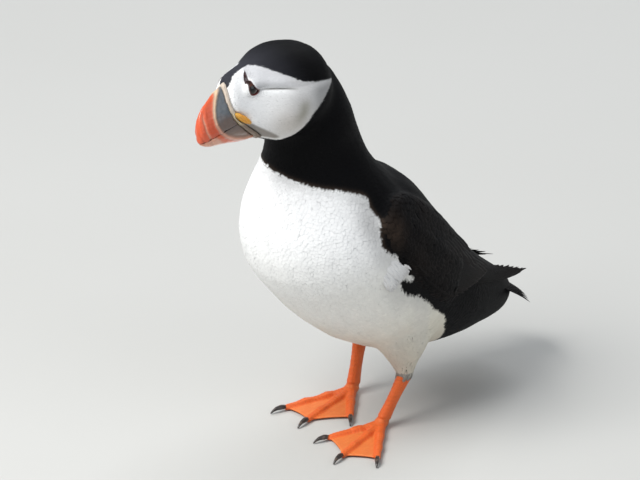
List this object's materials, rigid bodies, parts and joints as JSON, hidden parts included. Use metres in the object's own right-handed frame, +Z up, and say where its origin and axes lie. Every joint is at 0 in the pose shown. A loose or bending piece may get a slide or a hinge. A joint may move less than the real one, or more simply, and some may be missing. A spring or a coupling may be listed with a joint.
{
  "type": "life-size standing puffin model",
  "caption": "Still model of a seabird standing upright on two webbed feet, wings folded, with a deep triangular bill and its head turned a little.",
  "frame": {"origin": "on the floor, under the middle of the bird's box, between the feet", "axes": "+Z up, the bird faces -Y, its left side is +X"},
  "size_m": [0.0964, 0.219, 0.2125],
  "materials": {
    "dark_plumage": "soft, faint sheen",
    "white_plumage": "soft, matt",
    "face_plumage": "short, velvety",
    "bill_horn": "satin horn, grooved",
    "cere_skin": "waxy",
    "rosette_skin": "wrinkled, satin",
    "foot_skin": "scaled, satin",
    "claw_horn": "satin horn",
    "eyeball": "wet gloss",
    "eye_plate_horn": "dull horn"
  },
  "bodies": {
    "root": {"head": "face_plumage", "neck": "dark_plumage", "trunk": "white_plumage", "tail": "dark_plumage", "bill_upper": "bill_horn", "bill_lower": "bill_horn", "cere": "cere_skin", "eye_left": "eyeball", "rosette_left": "rosette_skin", "eye_plate_left": "eye_plate_horn", "wing_left": "dark_plumage", "primaries_left": "dark_plumage", "thigh_left": "white_plumage", "tarsus_left": "foot_skin", "foot_left": "foot_skin", "claw_inner_left": "claw_horn", "claw_middle_left": "claw_horn", "claw_outer_left": "claw_horn", "eye_right": "eyeball", "rosette_right": "rosette_skin", "eye_plate_right": "eye_plate_horn", "wing_right": "dark_plumage", "primaries_right": "dark_plumage", "thigh_right": "white_plumage", "tarsus_right": "foot_skin", "foot_right": "foot_skin", "claw_inner_right": "claw_horn", "claw_middle_right": "claw_horn", "claw_outer_right": "claw_horn"}
  },
  "joints": []
}
